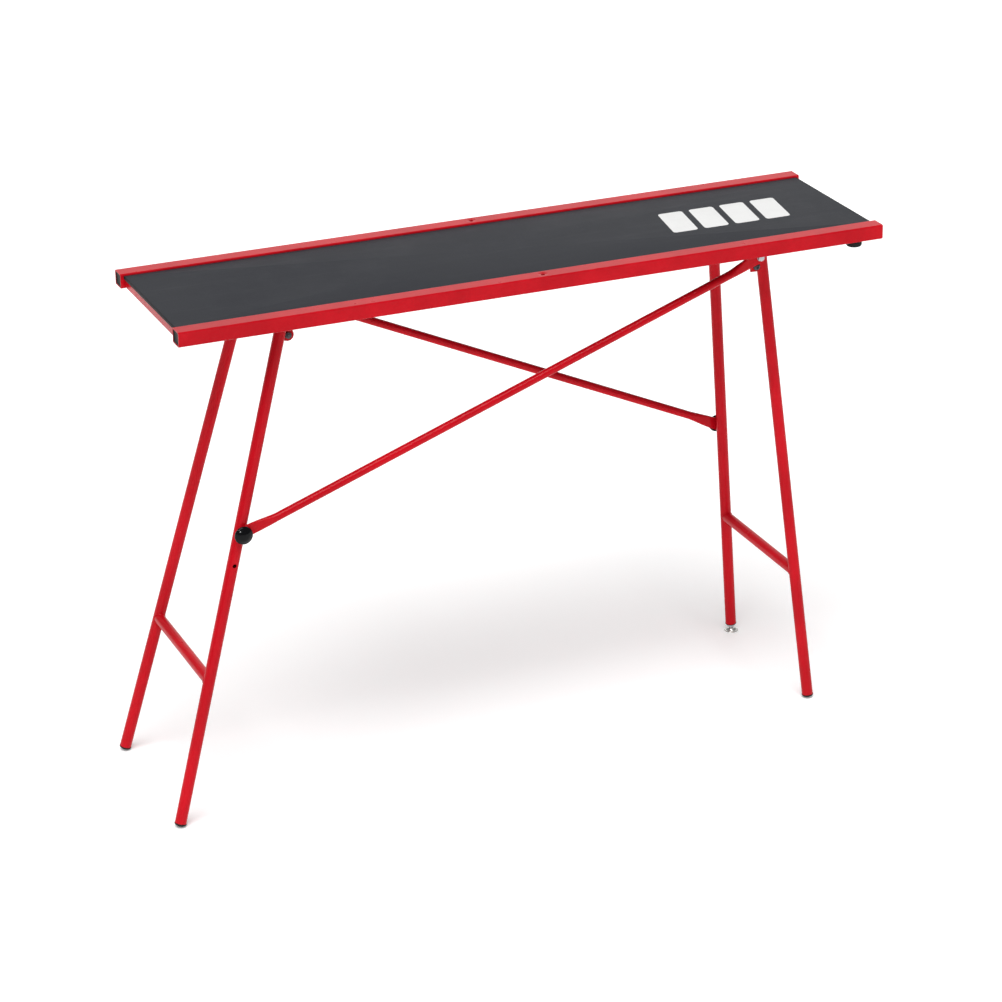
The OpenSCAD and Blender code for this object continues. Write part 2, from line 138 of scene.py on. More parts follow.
class Graph:
    """A material's node tree, with one method that makes any node."""

    def __init__(self, name: str) -> None:
        """Starts an empty material of this name."""
        self.material = bpy.data.materials.new(name)
        self.material.use_nodes = True
        self.tree = self.material.node_tree
        self.tree.nodes.clear()
        self._coordinates: Optional[Wire] = None

    def node(
        self,
        kind: str,
        settings: Optional[dict[str, Any]] = None,
        inputs: Optional[dict[Union[str, int], Any]] = None,
        output: Union[str, int] = 0,
    ) -> Wire:
        """Adds a node of any kind.

        Args:
            kind: the node's type, such as ShaderNodeTexNoise.
            settings: its own properties, set first.
            inputs: a Wire or a value for each socket, by name or number.
            output: the socket that is returned.

        Returns:
            The wanted output as a Wire.
        """
        made = self.tree.nodes.new(kind)
        for key, value in (settings or {}).items():
            setattr(made, key, value)
        for key, value in (inputs or {}).items():
            socket = made.inputs[key]
            if isinstance(value, Wire):
                self.tree.links.new(value.socket, socket)
            else:
                socket.default_value = value
        return Wire(self, made.outputs[output])

    @property
    def coordinates(self) -> Wire:
        """Object coordinates, in metres."""
        if self._coordinates is None:
            self._coordinates = self.node("ShaderNodeTexCoord", output="Object")
        return self._coordinates

    def stretched(self, scale: Sequence[float]) -> Wire:
        """Object coordinates scaled along each axis, so that a pattern runs as streaks."""
        return self.node("ShaderNodeMapping", None, {"Vector": self.coordinates, "Scale": tuple(scale)})

    def noise(
        self, scale: Number, detail: Number = 3.0, rough: Number = 0.55, where: Optional[Wire] = None
    ) -> Wire:
        """Fractal noise from 0 to 1.

        Args:
            scale: cells per metre.
            detail: octaves.
            rough: how much each octave keeps.
            where: coordinates to read, or None for Object coordinates.

        Returns:
            The noise.
        """
        inputs = {"Vector": where or self.coordinates, "Scale": scale, "Detail": detail, "Roughness": rough}
        return self.node("ShaderNodeTexNoise", {"noise_dimensions": "3D"}, inputs, "Fac")

    def cells(self, scale: Number) -> Wire:
        """Distance to the nearest cell point, for pits and pebbles."""
        inputs = {"Vector": self.coordinates, "Scale": scale}
        return self.node("ShaderNodeTexVoronoi", None, inputs, "Distance")

    def blend(self, share: Any, first: Any, second: Any) -> Wire:
        """Mixes two colours.

        Args:
            share: how much of the second shows.
            first: colour or Wire where share is 0.
            second: colour or Wire where share is 1.

        Returns:
            The mixed colour.
        """
        values = [(*c, 1.0) if isinstance(c, tuple) and len(c) == 3 else c for c in (first, second)]
        return self.node("ShaderNodeMix", {"data_type": "RGBA"}, {0: share, 6: values[0], 7: values[1]}, 2)

    def bump(
        self, height: Wire, distance: Number, strength: Number = 1.0, under: Optional[Wire] = None
    ) -> Wire:
        """Turns a height into a normal.

        Args:
            height: the relief, 0 to 1.
            distance: the real depth of that relief in metres.
            strength: how much of it shows.
            under: a coarser normal to add it to.

        Returns:
            The bumped normal.
        """
        inputs: dict[Union[str, int], Any] = {"Height": height, "Distance": distance, "Strength": strength}
        if under is not None:
            inputs["Normal"] = under
        return self.node("ShaderNodeBump", None, inputs)

    def surface(self, fixed: dict[str, Any], varying: dict[str, Wire]) -> bpy.types.Material:
        """Ends the tree in a Principled shader.

        Args:
            fixed: values that are the same all over, set on the shader's own sockets.
            varying: wires to the shader's sockets.

        Returns:
            The finished material.
        """
        shader = self.node("ShaderNodeBsdfPrincipled", None, {**fixed, **varying})
        end = self.tree.nodes.new("ShaderNodeOutputMaterial")
        self.tree.links.new(shader.socket, end.inputs["Surface"])
        return self.material


# --------------------------------------------------------------------------------------
# Finishes
# --------------------------------------------------------------------------------------


@dataclass(frozen=True)
class Enamel:
    """Stoved red enamel on steel: orange peel, dust nibs, rub marks and thin spots."""

    name: str
    colour: tuple[float, float, float] = (0.61, 0.0045, 0.0135)
    deep: tuple[float, float, float] = (0.49, 0.003, 0.0100)
    rough: float = 0.30
    peel: float = 0.000035

    def make(self) -> bpy.types.Material:
        """Builds the material.

        Returns:
            Enamel whose colour drifts with slow noise, whose gloss is broken by rub marks, and
            whose relief is the sum of a fine orange peel and sparse nibs.
        """
        g = Graph(self.name)
        drift = g.noise(7.0, 4.0, 0.6).ease(0.3, 0.7)
        fine = g.noise(260.0, 2.0)
        shade = (drift * 0.55 + fine * 0.35).ease(0.15, 0.8)
        colour = g.blend(shade, self.deep, self.colour)
        rub = g.noise(55.0, 5.0, 0.7, g.stretched((0.25, 1.0, 1.0)))
        scuff = rub.ease(0.63, 0.74) * g.noise(9.0, 2.0).ease(0.5, 0.66)
        colour = g.blend(scuff * 0.22, colour, (0.72, 0.05, 0.045))
        nib_field = g.cells(420.0)
        nibs = 1.0 - nib_field.ease(0.02, 0.11)
        speck = nibs * (g.noise(85.0, 1.0) > 0.62)
        colour = g.blend(speck * 0.35, colour, (0.25, 0.002, 0.004))
        rough = self.rough + (g.noise(30.0, 3.0) - 0.5) * 0.14 + scuff * 0.16 + speck * 0.1
        peel = g.noise(520.0, 2.0, 0.5)
        normal = g.bump(peel, self.peel, 1.0)
        normal = g.bump(speck, 0.00006, 0.6, normal)
        fixed = {"Specular IOR Level": 0.04, "Coat Roughness": 0.055, "Coat IOR": 1.3}
        coat = 0.34 - scuff * 0.25
        varying = {"Base Color": colour, "Roughness": rough, "Normal": normal, "Coat Weight": coat}
        return g.surface(fixed, varying)


@dataclass(frozen=True)
class BoardSkin:
    """Pebbled charcoal facing of the board, with faint mottling and long rub streaks."""

    name: str
    colour: tuple[float, float, float] = (0.022, 0.024, 0.031)
    pale: tuple[float, float, float] = (0.034, 0.036, 0.042)

    def make(self) -> bpy.types.Material:
        """Builds the material.

        Returns:
            A dark facing: slow mottling mixes two greys, streaks along X lighten it, and the relief
            is a field of small pebbles under a fine grain.
        """
        g = Graph(self.name)
        mottle = g.noise(14.0, 6.0, 0.62).ease(0.3, 0.72)
        cloud = g.noise(3.0, 2.0).ease(0.35, 0.65)
        streak = g.noise(60.0, 4.0, 0.65, g.stretched((0.05, 1.0, 1.0))).ease(0.5, 0.75)
        grain = g.noise(1400.0, 2.0)
        share = (mottle * 0.5 + cloud * 0.3 + streak * 0.07 + grain * 0.14).ease(0.1, 1.0)
        colour = g.blend(share, self.colour, self.pale)
        dust = (g.noise(240.0, 3.0, 0.7).ease(0.66, 0.74)) * 0.2
        colour = g.blend(dust, colour, (0.16, 0.16, 0.165))
        pebble = g.cells(900.0)
        rough = 0.58 + (mottle - 0.5) * 0.10 - streak * 0.03 + pebble * 0.06
        normal = g.bump(pebble, 0.00009, 0.7)
        normal = g.bump(grain, 0.00003, 0.5, normal)
        varying = {"Base Color": colour, "Roughness": rough, "Normal": normal}
        return g.surface({"Specular IOR Level": 0.16}, varying)


@dataclass(frozen=True)
class Moulded:
    """Moulded black plastic or rubber."""

    name: str
    colour: tuple[float, float, float] = (0.012, 0.012, 0.013)
    worn: tuple[float, float, float] = (0.035, 0.035, 0.037)
    rough: float = 0.38
    coat: float = 0.0
    grain: float = 0.00003
    shine: float = 0.12

    def make(self) -> bpy.types.Material:
        """Builds the material.

        Returns:
            Black that greys in slow patches, with flow marks in the gloss and a fine moulded grain.
        """
        g = Graph(self.name)
        patch = g.noise(45.0, 4.0).ease(0.35, 0.75)
        fine = g.noise(900.0, 2.0)
        colour = g.blend(patch * 0.4 + fine * 0.12, self.colour, self.worn)
        flow = g.noise(120.0, 3.0, 0.6, g.stretched((1.0, 1.0, 0.3)))
        rough = self.rough + (flow - 0.5) * 0.12 + patch * 0.05
        pits = 1.0 - g.cells(1500.0).ease(0.05, 0.35)
        normal = g.bump(fine * 0.7 + pits * 0.3, self.grain, 0.8)
        fixed = {"Specular IOR Level": self.shine, "Coat Weight": self.coat, "Coat Roughness": 0.03}
        return g.surface(fixed, {"Base Color": colour, "Roughness": rough, "Normal": normal})


@dataclass(frozen=True)
class Plated:
    """Plated or blackened steel fittings."""

    name: str
    colour: tuple[float, float, float] = (0.72, 0.73, 0.75)
    dull: tuple[float, float, float] = (0.48, 0.48, 0.49)
    rough: float = 0.2
    spangle: float = 150.0

    def make(self) -> bpy.types.Material:
        """Builds the material.

        Returns:
            Metal whose plating clouds in patches, with handling marks in the gloss and tool lines.
        """
        g = Graph(self.name)
        cloud = g.noise(self.spangle, 4.0, 0.65).ease(0.3, 0.75)
        lines = g.noise(1200.0, 2.0, 0.5, g.stretched((1.0, 0.08, 1.0)))
        stain = g.noise(60.0, 3.0).ease(0.55, 0.8)
        colour = g.blend(cloud * 0.6 + stain * 0.3, self.colour, self.dull)
        rough = self.rough + cloud * 0.12 + lines * 0.08 + stain * 0.1
        normal = g.bump(lines, 0.00002, 0.6)
        return g.surface({"Metallic": 1.0}, {"Base Color": colour, "Roughness": rough, "Normal": normal})


@dataclass(frozen=True)
class Ink:
    """White screen-printed ink on the board."""

    name: str
    colour: tuple[float, float, float] = (0.82, 0.82, 0.81)

    def make(self) -> bpy.types.Material:
        """Builds the material.

        Returns:
            White ink, thin where the board's grain shows through, with small pinholes.
        """
        g = Graph(self.name)
        thin = g.noise(700.0, 3.0, 0.7).ease(0.5, 0.8)
        patch = g.noise(25.0, 3.0).ease(0.4, 0.8)
        holes = 1.0 - g.cells(650.0).ease(0.03, 0.09)
        colour = g.blend(thin * 0.16 + patch * 0.1, self.colour, (0.60, 0.60, 0.60))
        colour = g.blend(holes * (g.noise(60.0, 1.0) > 0.56) * 0.8, colour, (0.10, 0.10, 0.105))
        rough = 0.42 + patch * 0.1 + thin * 0.1
        normal = g.bump(thin, 0.00004, 0.6)
        varying = {"Base Color": colour, "Roughness": rough, "Normal": normal}
        return g.surface({"Specular IOR Level": 0.4}, varying)


@dataclass(frozen=True)
class StudioFloor:
    """Matt pale floor."""

    name: str
    colour: tuple[float, float, float] = (0.96, 0.96, 0.96)

    def make(self) -> bpy.types.Material:
        """Builds a nearly even pale material with a trace of grain in its roughness."""
        g = Graph(self.name)
        rough = 0.85 + g.noise(3.0, 2.0) * 0.1
        fixed = {
            "Base Color": (*self.colour, 1.0),
            "Specular IOR Level": 0.05,
            "Emission Color": (1.0, 1.0, 1.0, 1.0),
            "Emission Strength": 0.2,
        }
        return g.surface(fixed, {"Roughness": rough})


class Finishes:
    """Every finish of the table, made once."""

    def __init__(self) -> None:
        """Builds the materials."""
        self.red = Enamel("red_enamel").make()
        self.board = BoardSkin("board_facing").make()
        self.edge = Moulded("board_edging", (0.008, 0.008, 0.009), (0.02, 0.02, 0.021), rough=0.55).make()
        blacks = (0.005, 0.004, 0.004), (0.014, 0.012, 0.013)
        self.plug = Moulded("plug_plastic", *blacks, rough=0.42, shine=0.05).make()
        blacks = (0.0015, 0.0015, 0.0022), (0.004, 0.004, 0.005)
        self.knob = Moulded("knob_plastic", *blacks, rough=0.14, coat=0.2, grain=0.00001, shine=0.06).make()
        blacks = (0.011, 0.011, 0.011), (0.030, 0.029, 0.028)
        self.rubber = Moulded("foot_rubber", *blacks, rough=0.6, grain=0.00007).make()
        self.zinc = Plated("bright_zinc", (0.52, 0.52, 0.54), (0.30, 0.30, 0.31), rough=0.24).make()
        greys = (0.70, 0.69, 0.66), (0.42, 0.41, 0.39)
        self.chrome = Plated("pad_plating", *greys, rough=0.14, spangle=90.0).make()
        greys = (0.055, 0.055, 0.06), (0.13, 0.13, 0.135)
        self.black_steel = Plated("blackened_steel", *greys, rough=0.3, spangle=200.0).make()
        self.ink = Ink("white_ink").make()


# --------------------------------------------------------------------------------------
# Surfaces
# --------------------------------------------------------------------------------------


def unit(vector: Sequence[float]) -> Array:
    """The vector at length one."""
    v = np.asarray(vector, float)
    return v / np.linalg.norm(v)


@dataclass(frozen=True)
class Place:
    """Where a piece sits: its origin and the directions of its own X, Y and Z."""

    origin: Array
    x: Array
    y: Array
    z: Array

    @staticmethod
    def along(
        origin: Sequence[float], axis: Sequence[float], near_x: Sequence[float] = (1.0, 0.0, 0.0)
    ) -> "Place":
        """A place whose Z runs along an axis.

        Args:
            origin: the place's zero.
            axis: the direction of its Z.
            near_x: its X is as close to this as it can be.

        Returns:
            The place.
        """
        z = unit(axis)
        x = unit(np.asarray(near_x, float) - np.dot(near_x, z) * z)
        return Place(np.asarray(origin, float), x, np.cross(z, x), z)

    def __call__(self, local: Array) -> Array:
        """Local points as points of the row frame: origin plus each coordinate times its axis."""
        return self.origin + local @ np.stack([self.x, self.y, self.z])


class Shell:
    """Closed grids of points, gathered into one mesh."""

    def __init__(self) -> None:
        """Starts empty."""
        self._points: list[Array] = []
        self._faces: list[Array] = []
        self._count = 0

    def add(self, rings: Array, wrap: bool = False) -> "Shell":
        """Adds a tube-like surface through rings of points.

        Point (i, j) joins (i, j+1) and (i+1, j); the last j joins the first. Without wrap, each end
        is closed by a fan to the mean of its ring; with wrap, the last ring joins the first.
        The whole is turned round if its signed volume, the sum of the triple products of its
        triangles, comes out negative.

        Args:
            rings: array of shape (rings, points per ring, 3).
            wrap: close the rings on themselves, as in a ring-shaped tube.

        Returns:
            This shell.
        """
        count, around, _ = rings.shape
        last = count if wrap else count - 1
        i, j = np.meshgrid(np.arange(last), np.arange(around), indexing="ij")
        i2, j2 = (i + 1) % count, (j + 1) % around
        a, b, c, d = (i * around + j, i * around + j2, i2 * around + j2, i2 * around + j)
        triangles = [np.stack([a, b, c], -1).reshape(-1, 3), np.stack([a, c, d], -1).reshape(-1, 3)]
        quads = np.stack([a, b, c, d], -1).reshape(-1, 4)
        points = rings.reshape(-1, 3)
        if not wrap:
            centres = np.stack([rings[0].mean(0), rings[-1].mean(0)])
            points = np.concatenate([points, centres])
            k = np.arange(around)
            k2 = (k + 1) % around
            base = (count - 1) * around
            first = np.stack([k2, k, np.full(around, count * around)], -1)
            end = np.stack([base + k, base + k2, np.full(around, count * around + 1)], -1)
            triangles += [first, end]
        all_triangles = np.concatenate(triangles)
        p = points[all_triangles] - points.mean(0)
        volume = np.einsum("ij,ij->i", p[:, 0], np.cross(p[:, 1], p[:, 2])).sum()
        faces = [quads] + ([] if wrap else triangles[2:])
        if volume < 0:
            faces = [f[:, ::-1] for f in faces]
        self._points.append(points)
        self._faces += [f + self._count for f in faces]
        self._count += len(points)
        return self

    def build(self, name: str, material: bpy.types.Material, sharp: Number = 35.0) -> bpy.types.Object:
        """Writes the mesh in metres.

        Args:
            name: the piece's name.
            material: its finish.
            sharp: edges that turn by more than this many degrees stay sharp.

        Returns:
            The piece.
        """
        mesh = bpy.data.meshes.new(name)
        faces: list[list[int]] = []
        for block in self._faces:
            faces += block.tolist()
        mesh.from_pydata((np.concatenate(self._points) * MM).tolist(), [], faces)
        mesh.shade_smooth()
        mesh.set_sharp_from_angle(angle=math.radians(sharp))
        mesh.materials.append(material)
        mesh.update()
        piece = bpy.data.objects.new(name, mesh)
        bpy.context.scene.collection.objects.link(piece)
        return piece


def turned(radii: Sequence[float], heights: Sequence[float], around: int = 64) -> Array:
    """Rings of a turned shape: at each height, radius times cosine and sine of the angle.

    Args:
        radii: radius of each ring.
        heights: height of each ring.
        around: points per ring.

    Returns:
        Array of shape (rings, around, 3).
    """
    turn = np.arange(around) * TAU / around
    r, h = np.asarray(radii, float)[:, None], np.asarray(heights, float)[:, None]
    return np.stack([r * np.cos(turn), r * np.sin(turn), h + 0.0 * turn], -1)


def hexagonal(radii: Sequence[float], heights: Sequence[float], flats: float, around: int = 72) -> Array:
    """Rings of a hexagon with turned chamfers.

    The radius is half the distance across flats over the cosine of the angle from the nearest
    flat's middle, and no more than the ring's own radius.

    Args:
        radii: largest radius of each ring.
        heights: height of each ring.
        flats: distance across the flats.
        around: points per ring.

    Returns:
        Array of shape (rings, around, 3).
    """
    turn = np.arange(around) * TAU / around
    off = (turn + TAU / 12) % (TAU / 6) - TAU / 12
    r = np.minimum(flats / 2 / np.cos(off)[None, :], np.asarray(radii, float)[:, None])
    h = np.asarray(heights, float)[:, None]
    return np.stack([r * np.cos(turn), r * np.sin(turn), h + 0.0 * turn], -1)


def corner_radius(flats: float) -> float:
    """Distance from a hexagon's middle to its corners: half the flats over the cosine of 30 degrees."""
    return flats / 2 / math.cos(math.pi / 6)


def arc(centre: tuple[float, float], radius: float, start: float, end: float, steps: int = 8) -> Array:
    """Points (radius, height) on a circular arc, from start to end in degrees."""
    a = np.radians(np.linspace(start, end, steps))
    return np.stack([centre[0] + radius * np.cos(a), centre[1] + radius * np.sin(a)], -1)


def threaded(core: float, depth: float, pitch: float, low: float, high: float, around: int = 40) -> Array:
    """Rings of a screw thread.

    The radius is the core's plus the depth times a triangle wave of height over pitch less the
    angle in turns; both ends fade to the core over one pitch.

    Args:
        core: radius at the root.
        depth: height of the thread.
        pitch: height gained in one turn.
        low: lowest height.
        high: highest height.
        around: points per ring.

    Returns:
        Array of shape (rings, around, 3).
    """
    h = np.linspace(low, high, int((high - low) / pitch * 8) + 2)[:, None]
    turn = (np.arange(around) * TAU / around)[None, :]
    wave = np.abs(((h / pitch - turn / TAU) % 1.0) * 2.0 - 1.0)
    fade = np.clip(np.minimum(h - low, high - h) / pitch, 0.0, 1.0)
    r = core + depth * (1.0 - wave) * fade
    return np.stack([r * np.cos(turn), r * np.sin(turn), h + 0.0 * turn], -1)


def rounded_outline(half_x: float, half_y: float, corner: float, steps: int = 7) -> Array:
    """A rectangle with round corners: four quarter circles joined by straight sides.

    Args:
        half_x: half its length.
        half_y: half its width.
        corner: corner radius.
        steps: points in each corner.

    Returns:
        Array of shape (points, 2), anticlockwise.
    """
    a = np.radians(np.linspace(0.0, 90.0, steps))
    quarters = []
    for k, (sx, sy) in enumerate(((1, 1), (-1, 1), (-1, -1), (1, -1))):
        b = a + k * math.pi / 2
        centre = np.array([sx * (half_x - corner), sy * (half_y - corner)])
        quarters.append(centre + corner * np.stack([np.cos(b), np.sin(b)], -1))
    return np.concatenate(quarters)


def slab(half_x: float, half_y: float, corner: float, low: float, high: float, edge: float) -> Array:
    """Rings of a flat block whose rim is rounded over.

    Each ring is the outline drawn in by edge times one less the cosine of a quarter turn, at a
    height that follows its sine, first round the lower rim and then round the upper one.

    Args:
        half_x: half its length.
        half_y: half its width.
        corner: corner radius seen from above.
        low: height of the underside.
        high: height of the top.
        edge: radius of the rounded rim.

    Returns:
        Array of shape (rings, points, 3).
    """
    a = np.radians(np.linspace(0.0, 90.0, 5))
    inset = np.concatenate([edge * (1 - np.sin(a)), edge * (1 - np.cos(a))])
    height = np.concatenate([low + edge * (1 - np.cos(a)), high - edge + edge * np.sin(a)])
    rings = [rounded_outline(half_x - i, half_y - i, max(corner - i, 0.05)) for i in inset]
    return np.stack([np.column_stack([r, np.full(len(r), h)]) for r, h in zip(rings, height)])


def bead(
    path: Array, radius: float, closed: bool, outward: Optional[Array] = None, pitch: float = 2.4
) -> Array:
    """Rings of a weld bead along a path.

    At each point a circle stands across the path; its radius is the bead's, swelling by a sixth
    with the cosine of distance over pitch, as each pool of the weld overlaps the last.

    Args:
        path: points of the joint, shape (n, 3).
        radius: half the bead's width.
        closed: the path returns to its start.
        outward: a direction that is never along the path.
        pitch: distance between pools.

    Returns:
        Array of shape (n, 12, 3).
    """
    if closed:
        tangent = np.roll(path, -1, 0) - np.roll(path, 1, 0)
    else:
        tangent = np.gradient(path, axis=0)
    tangent = tangent / np.linalg.norm(tangent, axis=1, keepdims=True)
    side = np.cross(tangent, np.array([0.31, 0.87, 0.39]) if outward is None else outward)
    side = side / np.linalg.norm(side, axis=1, keepdims=True)
    rise = np.cross(side, tangent)
    steps = np.linalg.norm(np.diff(path, axis=0), axis=1)
    run = np.concatenate([[0.0], np.cumsum(steps)])
    if closed:
        length = run[-1] + np.linalg.norm(path[0] - path[-1])
        pitch = length / max(round(length / pitch), 1)
    r = (radius * (1.0 + 0.16 * np.cos(run / pitch * TAU)))[:, None, None]
    turn = (np.arange(12) * TAU / 12)[None, :, None]
    return path[:, None, :] + r * (side[:, None, :] * np.cos(turn) + rise[:, None, :] * np.sin(turn))


# --------------------------------------------------------------------------------------
# Layout shared by the sub-assemblies
# --------------------------------------------------------------------------------------


def middle(node: str) -> Array:
    """Centre of a CAD node's box, in millimetres."""
    low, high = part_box(node)
    return (np.array(low) + np.array(high)) / 2 / MM


def corners(node: str) -> tuple[Array, Array]:
    """Lowest and highest corner of a CAD node's box, in millimetres."""
    low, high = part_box(node)
    return np.array(low) / MM, np.array(high) / MM


@dataclass(frozen=True)
class Layout:
    """How the legs and braces lean, and the plates that they pass through."""

    tilts: tuple[float, float] = (15.9, 5.2)
    splay: float = 4.15
    leg_y: float = 91.0
    leg_offset: float = 17.0
    leg_d: float = 19.0
    cross_d: float = 18.4
    plate_r: float = 10.0
    plate_t: float = 4.0
    side_gap: float = 0.4
    bush_l: float = 10.0
    flat_t: float = 3.0
    knob_gap: float = 1.1
    upper_hole: float = 318.0
    lower_hole: float = 373.0

    def tilt(self, side: Side) -> float:
        """Outward tilt of a leg frame, in radians."""
        return math.radians(self.tilts[0] if side is Side.LEFT else self.tilts[1])

    def pivot(self, side: Side) -> Array:
        """Middle of a leg frame's pivot line."""
        return middle("left_pivot_bolts" if side is Side.LEFT else "right_pivot_bolts")

    def down(self, side: Side, row: Row) -> Array:
        """Direction of a leg, from its pivot to its foot."""
        t, p = self.tilt(side), math.radians(self.splay)
        drop = math.cos(p)
        return np.array([side.value * drop * math.sin(t), row.value * math.sin(p), -drop * math.cos(t)])

    def leg_point(self, side: Side, row: Row, reach: float) -> Array:
        """Point on a leg's axis, a distance below its pivot along the leg."""
        t = self.tilt(side)
        shift = np.array([side.value * math.cos(t), 0.0, math.sin(t)]) * self.leg_offset
        start = self.pivot(side) + shift
        start[1] = row.value * self.leg_y
        return start + reach * self.down(side, row)

    def reach_at(self, side: Side, height: float) -> float:
        """Distance along a leg at which its axis is this high above the floor."""
        start, way = self.leg_point(side, Row.NEAR, 0.0), self.down(side, Row.NEAR)
        return float((height - start[2]) / way[2])

    def leg_place(self, side: Side, row: Row, reach: float) -> Place:
        """A place on a leg whose Z points down the leg."""
        return Place.along(self.leg_point(side, row, reach), self.down(side, row))

    @property
    def leg_out(self) -> float:
        """Distance sideways from a leg's axis to its surface."""
        return self.leg_d / 2 / math.cos(math.radians(self.splay))

    @property
    def plate_out(self) -> float:
        """Distance from a leg's axis to the far face of its hinge plate."""
        return self.leg_out + self.plate_r * math.tan(math.radians(self.splay)) + self.side_gap

    @property
    def bracket_out(self) -> float:
        """Distance from a leg's axis to the far face of its bracket."""
        return self.plate_out + self.side_gap + self.plate_t

    def stack(self, side: Side, row: Row) -> Array:
        """Direction from a leg to its plates: outboard where a brace hangs, else inboard."""
        outboard = side.value == -row.value
        return np.array([0.0, float(row.value if outboard else -row.value), 0.0])

    def hinge_start(self, side: Side, row: Row) -> Array:
        """Point on a pivot line level with a leg's axis."""
        return self.pivot(side) * [1.0, 0.0, 1.0] + np.array([0.0, row.value * self.leg_y, 0.0])

    @property
    def brace_y(self) -> float:
        """Middle of a brace's flat end at its pivot."""
        return self.leg_y + self.bracket_out + self.bush_l + self.flat_t / 2 + self.side_gap / 2

    def brace_start(self, row: Row) -> Array:
        """Middle of a brace's flat end on its pivot bolt."""
        pivot = self.pivot(Side.RIGHT if row is Row.NEAR else Side.LEFT)
        nuts = corners("brace_pivot_nuts")
        return np.array([pivot[0], row.value * self.brace_y, (nuts[0][2] + nuts[1][2]) / 2])

    def brace_end(self, row: Row) -> Array:
        """Middle of a brace's flat end under its knob."""
        if row is Row.NEAR:
            end = self.leg_point(Side.LEFT, row, self.upper_hole)
        else:
            end = self.leg_point(Side.RIGHT, row, self.lower_hole)
        return end + np.array([0.0, row.value * (self.leg_out + self.knob_gap + self.flat_t / 2), 0.0])

    def brace_place(self, row: Row) -> Place:
        """A brace's place: X along it from its pivot, Y outboard, from the middle of its flat."""
        start, end = self.brace_start(row), self.brace_end(row)
        x = unit(end - start)
        y = unit(np.array([-(end - start)[1], (end - start)[0], 0.0]))
        return Place(start, x, y, np.cross(x, y))


# --------------------------------------------------------------------------------------
# Sub-assemblies
# --------------------------------------------------------------------------------------


@dataclass
class SubAssembly:
    """A group of pieces that are built together."""

    finishes: Finishes
    layout: Layout
    made: list[str] = field(default_factory=list)

    def keep(self, piece: bpy.types.Object, body: str, slot: str, *stands_for: str) -> bpy.types.Object:
        """Fixes a piece to its body and hides the CAD nodes that it stands for.

        Args:
            piece: the new piece.
            body: the CAD body it moves with.
            slot: not used.
            stands_for: CAD nodes that it replaces.

        Returns:
            The piece.
        """
        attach(piece, body)
        if stands_for:
            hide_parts(*stands_for)
        self.made.append(piece.name)
        LOG.info("%s rides on %s", piece.name, body)
        return piece

    def dress(self, material: bpy.types.Material, *nodes: str) -> None:
        """Gives CAD nodes a finish."""
        for node in nodes:
            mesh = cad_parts[node].data
            mesh.materials.clear()
            mesh.materials.append(material)
            self.made.append(node)


